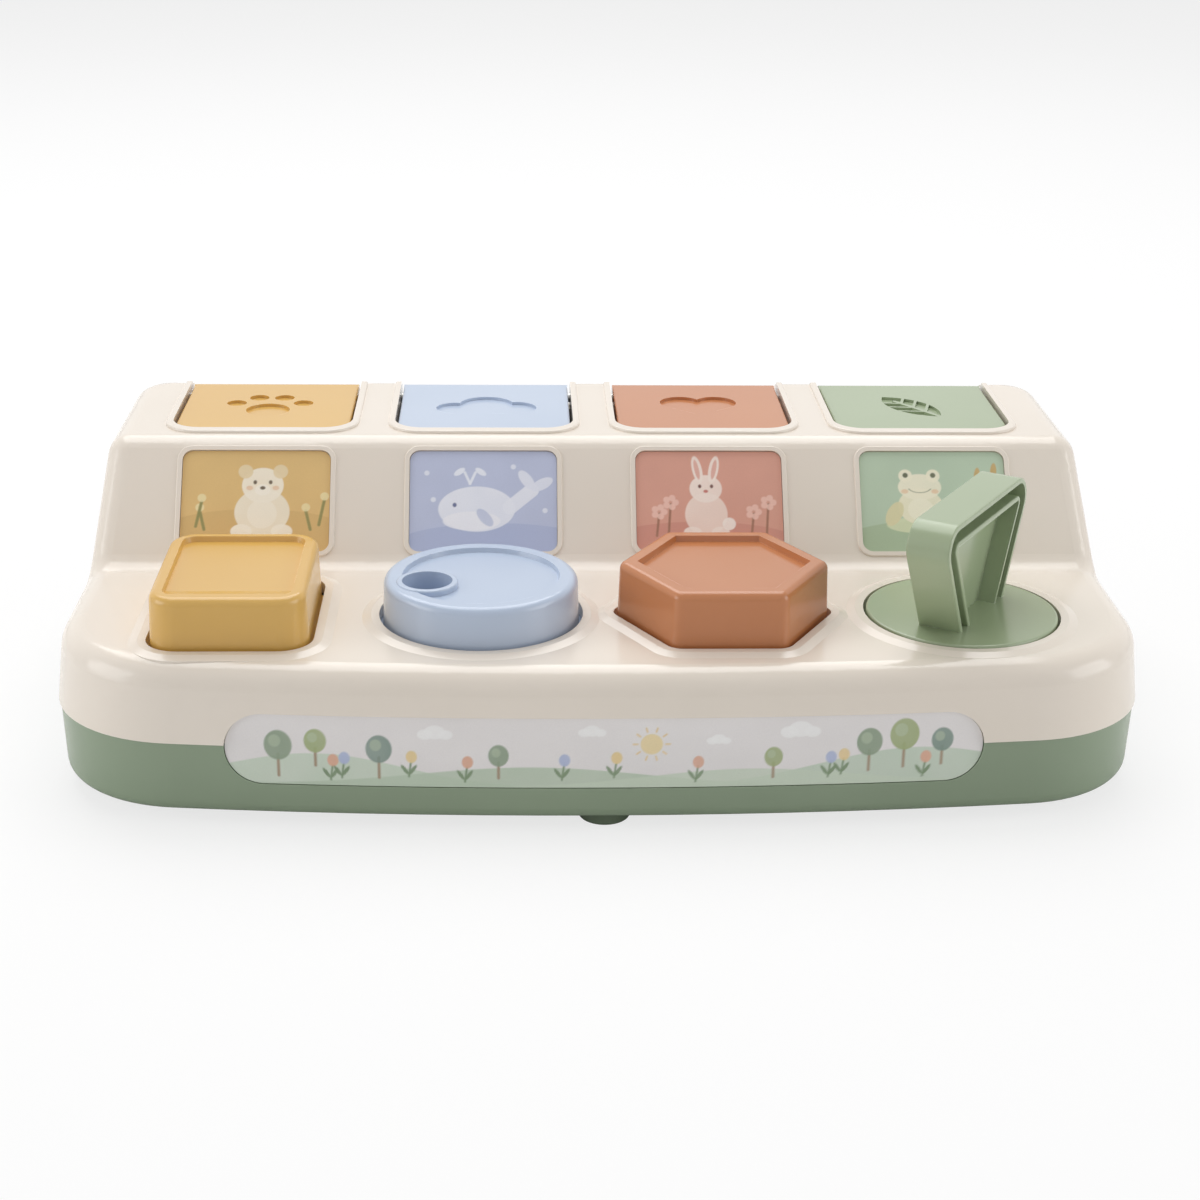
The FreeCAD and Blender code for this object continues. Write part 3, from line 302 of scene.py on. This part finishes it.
# Window cards: four printed films in shallow seats on the slope, each in its unit's colour.
# The print is generic: a small animal that matches the figure, with flowers, drops or reeds.
def oval(x, y, cx, cy, rx, ry, turn=0.0):
    """Signed distance, roughly in mm, to an ellipse: (|p scaled| - 1) times the mean radius."""
    c, s = math.cos(turn), math.sin(turn)
    u = ((x - cx) * c + (y - cy) * s) / rx
    v = (-(x - cx) * s + (y - cy) * c) / ry
    return (np.sqrt(u * u + v * v) - 1) * (rx * ry) ** 0.5


def stroke(x, y, x0, y0, x1, y1, r):
    """Signed distance to a capsule: distance to the segment less its half width."""
    dx, dy = x1 - x0, y1 - y0
    k = np.clip(((x - x0) * dx + (y - y0) * dy) / (dx * dx + dy * dy), 0, 1)
    return np.hypot(x - x0 - k * dx, y - y0 - k * dy) - r


def wash(x, y, seed):
    """Watercolour unevenness: a sum of a few slow sine waves in turned directions, from -1 to 1."""
    out = 0
    for k in range(5):
        a = seed * 1.7 + k * 2.4
        f = 0.25 + 0.17 * k
        out = out + np.sin(f * (x * math.cos(a) + y * math.sin(a)) + seed + k) / (k + 1.5)
    return out / 1.6


def lay(colours, dist, hex_colour, x, y, strength=1.0, seed=1.0, soft=0.16):
    """Lays a flat colour inside a signed distance with a soft edge and a watery unevenness."""
    cover = np.clip(0.5 - dist / (2 * soft), 0, 1) * strength * (0.93 + 0.07 * wash(x, y, seed))
    ink = np.array(linear(hex_colour)[:3])
    return colours * (1 - cover[..., None]) + ink * cover[..., None]


def bear_print(x, y, c):
    """A cream bear sitting on ochre ground between flowers."""
    c = lay(c, oval(x, y, 0, -11, 30, 8.5), "#d3b074", x, y, 0.8, 2)
    c = lay(c, oval(x, y, 2, -3.5, 8.2, 7.4), "#f5ecd8", x, y, 1, 3)
    c = lay(c, oval(x, y, 2, 5.0, 6.2, 5.6), "#f9f1e0", x, y, 1, 4)
    for s in (-1, 1):
        c = lay(c, oval(x, y, 2 + s * 5.2, 9.4, 2.2, 2.2), "#e9d6b0", x, y, 1, 5)
        c = lay(c, oval(x, y, 2 + s * 6.0, -9.6, 3.2, 2.3), "#f9f1e0", x, y, 1, 6)
        c = lay(c, oval(x, y, 2 + s * 2.3, 6.0, 0.55, 0.65), "#5b4a33", x, y)
        c = lay(c, oval(x, y, 2 + s * 3.9, 4.2, 1.0, 0.7), "#e3b48c", x, y, 0.6)
    c = lay(c, oval(x, y, 2, 3.6, 2.3, 1.8), "#fbf4e6", x, y)
    c = lay(c, oval(x, y, 2, 4.2, 0.8, 0.55), "#5b4a33", x, y)
    c = lay(c, oval(x, y, 2, -4, 4.4, 4.6), "#f9f1e0", x, y, 0.8)
    for k, (bx, by) in enumerate(((-15, -9), (-17.5, -8), (16.5, -9), (19, -7.5))):
        tx, ty = bx + (k % 2 - 0.5) * 3, by + 6 + k % 2 * 2
        c = lay(c, stroke(x, y, bx, by, tx, ty, 0.45), "#8d8a54", x, y)
        c = lay(c, oval(x, y, tx, ty + 1, 1.3, 1.3), "#efe0ae", x, y, 0.9)
    return c


def whale_print(x, y, c):
    """A pale whale with a spout over slow blue water."""
    c = lay(c, oval(x, y, 4, -15, 32, 8.0), "#acb6d6", x, y, 0.75, 2)
    c = lay(c, oval(x, y, -2, -2.5, 11.5, 7.2), "#edeff8", x, y, 1, 3)
    c = lay(c, stroke(x, y, 8, -2, 14.5, 3.5, 2.2), "#edeff8", x, y, 1, 3)
    c = lay(c, oval(x, y, 13.0, 6.8, 3.6, 1.7, 2.2), "#e6e9f5", x, y, 1, 4)
    c = lay(c, oval(x, y, 17.6, 5.4, 3.6, 1.7, 0.5), "#e6e9f5", x, y, 1, 4)
    c = lay(c, oval(x, y, -3.5, -6.3, 8.6, 3.0), "#f4f4fa", x, y, 0.9)
    c = lay(c, oval(x, y, -8.6, -1.2, 0.6, 0.7), "#56608a", x, y)
    c = lay(c, oval(x, y, 0.5, -5.2, 1.6, 3.4, 0.7), "#c3cae2", x, y, 0.9)
    for s in (-1, 1):
        c = lay(c, stroke(x, y, -4, 5.6, -4 + s * 1.6, 9.2, 0.4), "#eef1fa", x, y)
        c = lay(c, oval(x, y, -4 + s * 3.2, 9.4, 1.9, 0.9, s * -0.6), "#eef1fa", x, y)
    for sx, sy in ((-17, 9), (9, 11), (-15, 0.5), (18.5, -3)):
        c = lay(c, oval(x, y, sx, sy, 0.8, 0.8), "#eef1fa", x, y, 0.8)
    return c


def rabbit_print(x, y, c):
    """A pale rabbit sitting between pink flowers."""
    c = lay(c, oval(x, y, -3, -14.5, 32, 8.0), "#cb8a7c", x, y, 0.6, 2)
    c = lay(c, oval(x, y, -1, -4.2, 6.4, 6.8), "#f6e1d5", x, y, 1, 3)
    c = lay(c, oval(x, y, -1, 4.0, 4.9, 4.4), "#faebe1", x, y, 1, 4)
    for s in (-1, 1):
        c = lay(c, oval(x, y, -1 + s * 2.5, 10.2, 1.5, 4.4, -s * 0.2), "#faebe1", x, y)
        c = lay(c, oval(x, y, -1 + s * 2.6, 10.2, 0.7, 3.2, -s * 0.2), "#dd9d8d", x, y, 0.8)
        c = lay(c, oval(x, y, -1 + s * 1.8, 4.8, 0.5, 0.6), "#6a4038", x, y)
        c = lay(c, oval(x, y, -1 + s * 4.2, -9.8, 2.7, 1.7), "#faebe1", x, y)
    c = lay(c, oval(x, y, -1, 3.2, 0.7, 0.5), "#c97b70", x, y)
    c = lay(c, oval(x, y, 5.8, -7.2, 2.0, 2.0), "#fbf0e8", x, y)
    for k, bx in enumerate((-16, -12.5, 12.5, 17)):
        c = lay(c, stroke(x, y, bx, -11, bx + 0.8, -4 + k % 2 * 3, 0.35), "#9c6f58", x, y)
        for a in range(5):
            px = bx + 0.8 + 1.5 * math.cos(a * 1.257)
            py = -3.4 + k % 2 * 3 + 1.5 * math.sin(a * 1.257)
            c = lay(c, oval(x, y, px, py, 1.0, 1.0), "#f3c9bb", x, y, 0.9)
    return c


def frog_print(x, y, c):
    """A cream frog on a leaf beside three reeds."""
    c = lay(c, oval(x, y, 0, -14.0, 30, 8.0), "#a6b896", x, y, 0.75, 2)
    c = lay(c, oval(x, y, -4, -7.6, 10.5, 2.6), "#dfe3bd", x, y, 0.9, 3)
    c = lay(c, oval(x, y, -4, -1.6, 6.8, 5.8), "#f1ebcf", x, y, 1, 4)
    c = lay(c, oval(x, y, -4, 4.6, 6.6, 4.2), "#f6f0d8", x, y, 1, 4)
    for s in (-1, 1):
        c = lay(c, oval(x, y, -4 + s * 4.2, 8.2, 2.1, 2.1), "#f6f0d8", x, y)
        c = lay(c, oval(x, y, -4 + s * 4.2, 8.4, 0.8, 0.8), "#50573c", x, y)
        c = lay(c, oval(x, y, -4 + s * 8.0, -4.0, 2.3, 4.2, s * 0.5), "#e0d8ae", x, y)
        c = lay(c, oval(x, y, -4 + s * 4.6, 3.2, 1.1, 0.7), "#e8b98e", x, y, 0.6)
    c = lay(c, np.abs(oval(x, y, -4, 4.8, 3.6, 2.0)) - 0.12 + 9 * (y > 4.2), "#6c7350", x, y, 0.9)
    c = lay(c, oval(x, y, -4, -2.6, 3.9, 3.6), "#f8f3dc", x, y, 0.8)
    for k, (bx, top) in enumerate(((13.5, 8), (16.2, 5), (18.6, 9.5))):
        c = lay(c, stroke(x, y, bx - 1.5, -10, bx, top - 3, 0.4), "#7c8f63", x, y)
        c = lay(c, oval(x, y, bx + 0.2, top, 0.95, 2.9, -0.1), "#c9a86c", x, y, 0.95)
    return c


def printed_film(name, gloss):
    """Ink on white polypropylene film under a thin clear lacquer: colours from the piece's own
    attribute, a fine halftone grain about 0.25 mm across, and an even satin shine."""
    m = bpy.data.materials.new(name)
    m.use_nodes = True
    t = m.node_tree
    p = t.nodes["Principled BSDF"]
    p.inputs["Roughness"].default_value = gloss
    p.inputs["IOR"].default_value = 1.49
    ink = add_node(t, "ShaderNodeAttribute", {"attribute_name": "ink"})
    where = add_node(t, "ShaderNodeTexCoord")
    dots = noise(t, where, 4000.0, 1.0)
    level = add_node(t, "ShaderNodeMapRange", {"To Min": 0.94, "To Max": 1.04},
                     {"Value": (dots, "Fac")})
    tone = add_node(t, "ShaderNodeVectorMath", {"operation": "SCALE"},
                    {0: (ink, "Color"), "Scale": (level, "Result")})
    t.links.new(tone.outputs["Vector"], p.inputs["Base Color"])
    return m


def rounded_grid(w, h, r, step):
    """Points of a rounded rectangle: rows up its height, each row stretched to the outline's
    width there, which near a corner is w/2 - r + sqrt(r^2 - (distance into the corner)^2)."""
    rows = int(h / step) + 1
    cols = int(w / step) + 1
    v = np.linspace(-1, 1, rows)[:, None] * h / 2
    deep = np.clip(np.abs(v) - (h / 2 - r), 0, r * 0.999)
    reach = w / 2 - r + np.sqrt(r * r - deep * deep)
    x = np.linspace(-1, 1, cols)[None, :] * reach
    return x, v + 0 * x, rows, cols


def add_ink(ob, colours):
    """Stores one linear colour per point."""
    layer = ob.data.color_attributes.new("ink", "FLOAT_COLOR", "POINT")
    rgba = np.ones((len(ob.data.vertices), 4))
    rgba[:, :3] = colours.reshape(-1, 3)
    layer.data.foreach_set("color", rgba.ravel())


film = printed_film("printed_film", 0.36)
card_w, card_l, card_round = 44.1, 32.0, 3.0
card_lift = -0.2 + 0.03     # the card's face is 0.2 mm deep in its seat, and the ink lies on it
slope = math.radians(51.35)
slope_top_y, slope_top_z = 19.96, 79.4
card_low_z = 51.0
card_low_y = slope_top_y - (slope_top_z - card_low_z) / math.tan(slope)
prints = [(bear_print, "#dfbd80"), (whale_print, "#c0c7e0"),
          (rabbit_print, "#dba391"), (frog_print, "#bbcdb5")]
for i, (draw, ground) in enumerate(prints):
    x, v, rows, cols = rounded_grid(card_w, card_l, card_round, 0.2)
    up = v + card_l / 2
    y = card_low_y + up * math.cos(slope) - card_lift * math.sin(slope)
    z = card_low_z + up * math.sin(slope) + card_lift * math.cos(slope)
    verts = np.stack([x + unit_x[i], y, z], axis=-1).reshape(-1, 3)
    ob = mesh_piece("card_print_%d" % (i + 1), verts, grid_faces(rows, cols, False), "case", film)
    base = np.array(linear(ground)[:3]) * (1 + 0.025 * wash(x, v, i + 1))[..., None]
    add_ink(ob, draw(x, v, base))
    card_edge = moulded_abs("card_edge_%d" % (i + 1), ground, ground, "#d8d4cc", 0.4)
    coat_node("window_card_%d" % (i + 1), card_edge)


# Front label: one long printed film with round ends in a seat across the seam of shell and tray.
# The print is generic: pale sky over green hills with round trees, tulips, clouds and a low sun.
def hill(x, y, cx, top, spread):
    """Signed height above a hill: y less a bell curve of the given top and spread."""
    return y - (top * np.exp(-((x - cx) / spread) ** 2) - 10.4)


def label_art(x, y):
    """Colours of the label at x from its middle and y from its middle line, in mm."""
    c = np.array(linear("#e8e4e3")[:3]) * (1 + 0.02 * wash(x * 0.4, y, 3))[..., None]
    c = lay(c, hill(x, y, -78, 9.5, 34), "#c9d6c4", x, y, 0.95, 2)
    c = lay(c, hill(x, y, 84, 10.5, 38), "#c4d2c0", x, y, 0.95, 4)
    c = lay(c, hill(x, y, -20, 6.2, 46), "#bccbb6", x, y, 0.95, 5)
    c = lay(c, hill(x, y, 38, 5.4, 40), "#cbd7c4", x, y, 0.9, 6)
    sun_x, sun_y = 12, 2.6
    c = lay(c, oval(x, y, sun_x, sun_y, 3.0, 3.0), "#ecd7a3", x, y, 0.95)
    for a in range(10):
        ca, sa = math.cos(a * 0.628), math.sin(a * 0.628)
        ray = stroke(x, y, sun_x + 3.8 * ca, sun_y + 3.8 * sa, sun_x + 4.9 * ca, sun_y + 4.9 * sa, 0.22)
        c = lay(c, ray, "#e5c98d", x, y)
    for cx, cy, s in ((-46, 5.2, 1.0), (52, 5.6, 1.15), (-4, 6.0, 0.8), (30, 3.4, 0.7)):
        for dx, dy, r in ((-2.6, 0, 1.5), (0, 0.7, 2.0), (2.8, 0, 1.4)):
            puff = oval(x, y, cx + dx * s, cy + dy * s, r * s * 1.4, r * s)
            c = lay(c, puff, "#f4f3f2", x, y, 0.9)
    trees = ((-88, -1.4, 1.5), (-78, 0.6, 1.2), (-61, -1.8, 1.4), (71, -0.4, 1.4),
             (80.5, 1.2, 1.6), (91, 0.0, 1.2), (-29, -2.8, 1.1), (45, -3.4, 1.0))
    for k, (tx, ty, s) in enumerate(trees):
        c = lay(c, stroke(x, y, tx, ty - 4.2 * s, tx, ty, 0.4), "#a58f77", x, y)
        leaves = ("#8fa088", "#a3b07f", "#7f9489")[k % 3]
        c = lay(c, oval(x, y, tx, ty + 1.8 * s, 2.5 * s, 2.9 * s), leaves, x, y, 1, k)
        c = lay(c, oval(x, y, tx - 0.6 * s, ty + 2.6 * s, 1.1 * s, 1.2 * s), "#bccab0", x, y, 0.55)
    for k, tx in enumerate((-74, -71, -53, -38, -12, 2, 24, 60, 63.5, 86)):
        base = -8.6 + (k % 3) * 0.7
        c = lay(c, stroke(x, y, tx, base, tx + 0.6, base + 4.6, 0.28), "#7f9474", x, y)
        for side in (-1, 1):
            c = lay(c, oval(x, y, tx + side * 1.1, base + 2.0, 0.5, 1.7, side * -0.6), "#7f9474", x, y)
        petals = ("#dfae95", "#b3bddb", "#e9d09a")[k % 3]
        c = lay(c, oval(x, y, tx + 0.7, base + 5.8, 1.5, 1.8), petals, x, y)
    return c


label_w, label_h, label_mid_z = 204.6, 20.4, 24.0
front_y, bow = -87.25, 1150.0
label_sunk, label_thick, ink = 1.7, 0.6, 0.03
x, v, rows, cols = rounded_grid(label_w, label_h, label_h / 2, 0.3)
radius = bow - label_sunk + label_thick + ink
y = front_y + bow - np.sqrt(radius ** 2 - x ** 2)
verts = np.stack([x, y, v + label_mid_z], axis=-1).reshape(-1, 3)
ob = mesh_piece("label_print", verts, grid_faces(rows, cols, False), "case", film)
add_ink(ob, label_art(x, v))
coat_node("front_label", moulded_abs("label_edge", "#cfccc9", "#c9c6c3", "#dedcda", 0.4))

# Stage: plain white floor that glows a little for the camera, one broad soft lamp above and behind,
# a soft box at each side and a pale sky. The camera is left of the middle, looking 21 degrees down.
floor_mesh = bpy.data.meshes.new("floor")
reach = 15.0
floor_mesh.from_pydata([(-reach, -reach, 0), (reach, -reach, 0), (reach, reach, 0), (-reach, reach, 0)],
                       [], [(0, 1, 2, 3)])
floor = bpy.data.objects.new("floor", floor_mesh)
bpy.context.scene.collection.objects.link(floor)
paper = bpy.data.materials.new("white_paper")
paper.use_nodes = True
t = paper.node_tree
matt_white = t.nodes["Principled BSDF"]
matt_white.inputs["Base Color"].default_value = (0.9, 0.9, 0.9, 1)
matt_white.inputs["Roughness"].default_value = 0.9
path = add_node(t, "ShaderNodeLightPath")
glow = add_node(t, "ShaderNodeEmission", {"Color": (1, 1, 1, 1), "Strength": 1.0})
share = add_node(t, "ShaderNodeMath", {"operation": "MULTIPLY", 1: 0.75}, {0: (path, "Is Camera Ray")})
lit = add_node(t, "ShaderNodeMixShader", {}, {0: (share, "Value"), 1: (matt_white, 0), 2: (glow, 0)})
t.links.new(lit.outputs[0], t.nodes["Material Output"].inputs["Surface"])
floor_mesh.materials.append(paper)

world = bpy.data.worlds.new("pale_sky")
bpy.context.scene.world = world
world.use_nodes = True
t = world.node_tree
path = add_node(t, "ShaderNodeLightPath")
shown = add_node(t, "ShaderNodeMath", {"operation": "MAXIMUM"},
                 {0: (path, "Is Camera Ray"), 1: (path, "Is Glossy Ray")})
clear = add_node(t, "ShaderNodeMath", {"operation": "MAXIMUM"},
                 {0: (shown, "Value"), 1: (path, "Is Transmission Ray")})
level = add_node(t, "ShaderNodeMapRange", {"To Min": 0.38, "To Max": 1.0}, {"Value": (clear, "Value")})
t.links.new(level.outputs["Result"], t.nodes["Background"].inputs["Strength"])
t.nodes["Background"].inputs["Color"].default_value = (1, 1, 1, 1)


def turned(right, up, back, place):
    """Placement of a lamp or camera from its three axes and its place."""
    m = np.eye(4)
    m[:3, 0], m[:3, 1], m[:3, 2], m[:3, 3] = right, up, back, place
    return Matrix(m.tolist())


def soft_lamp(name, place, aim, size, power):
    """A square area lamp at a place, turned towards a point."""
    data = bpy.data.lights.new(name, "AREA")
    data.size = size
    data.energy = power
    ob = bpy.data.objects.new(name, data)
    d = np.array(aim, float) - np.array(place, float)
    d /= np.linalg.norm(d)
    side = np.cross(d, (0, 0, 1))
    side /= np.linalg.norm(side)
    ob.matrix_world = turned(side, np.cross(side, d), -d, place)
    bpy.context.scene.collection.objects.link(ob)


soft_lamp("overhead", (-0.1, 0.62, 1.25), (0, 0.02, 0.05), 1.3, 15.0)
soft_lamp("left_box", (-1.3, -0.35, 0.4), (0, 0, 0.04), 0.9, 6.0)
soft_lamp("right_box", (1.3, -0.35, 0.4), (0, 0, 0.04), 0.9, 6.0)

pitch, yaw, roll = math.radians(21.33), math.radians(2.352), math.radians(0.784)
ahead = np.array([math.sin(yaw) * math.cos(pitch), math.cos(yaw) * math.cos(pitch), -math.sin(pitch)])
right = np.array([math.cos(yaw), -math.sin(yaw), 0.0])
up = np.cross(right, ahead)
cam_data = bpy.data.cameras.new("camera")
cam_data.sensor_width = 36.0
cam_data.lens = 66.09
cam = bpy.data.objects.new("camera", cam_data)
cam.matrix_world = turned(right * math.cos(roll) + up * math.sin(roll),
                          up * math.cos(roll) - right * math.sin(roll), -ahead,
                          np.array([-24.33, -620.05, 276.71]) * MM)
bpy.context.scene.collection.objects.link(cam)
bpy.context.scene.camera = cam
bpy.context.scene.view_settings.view_transform = "Standard"
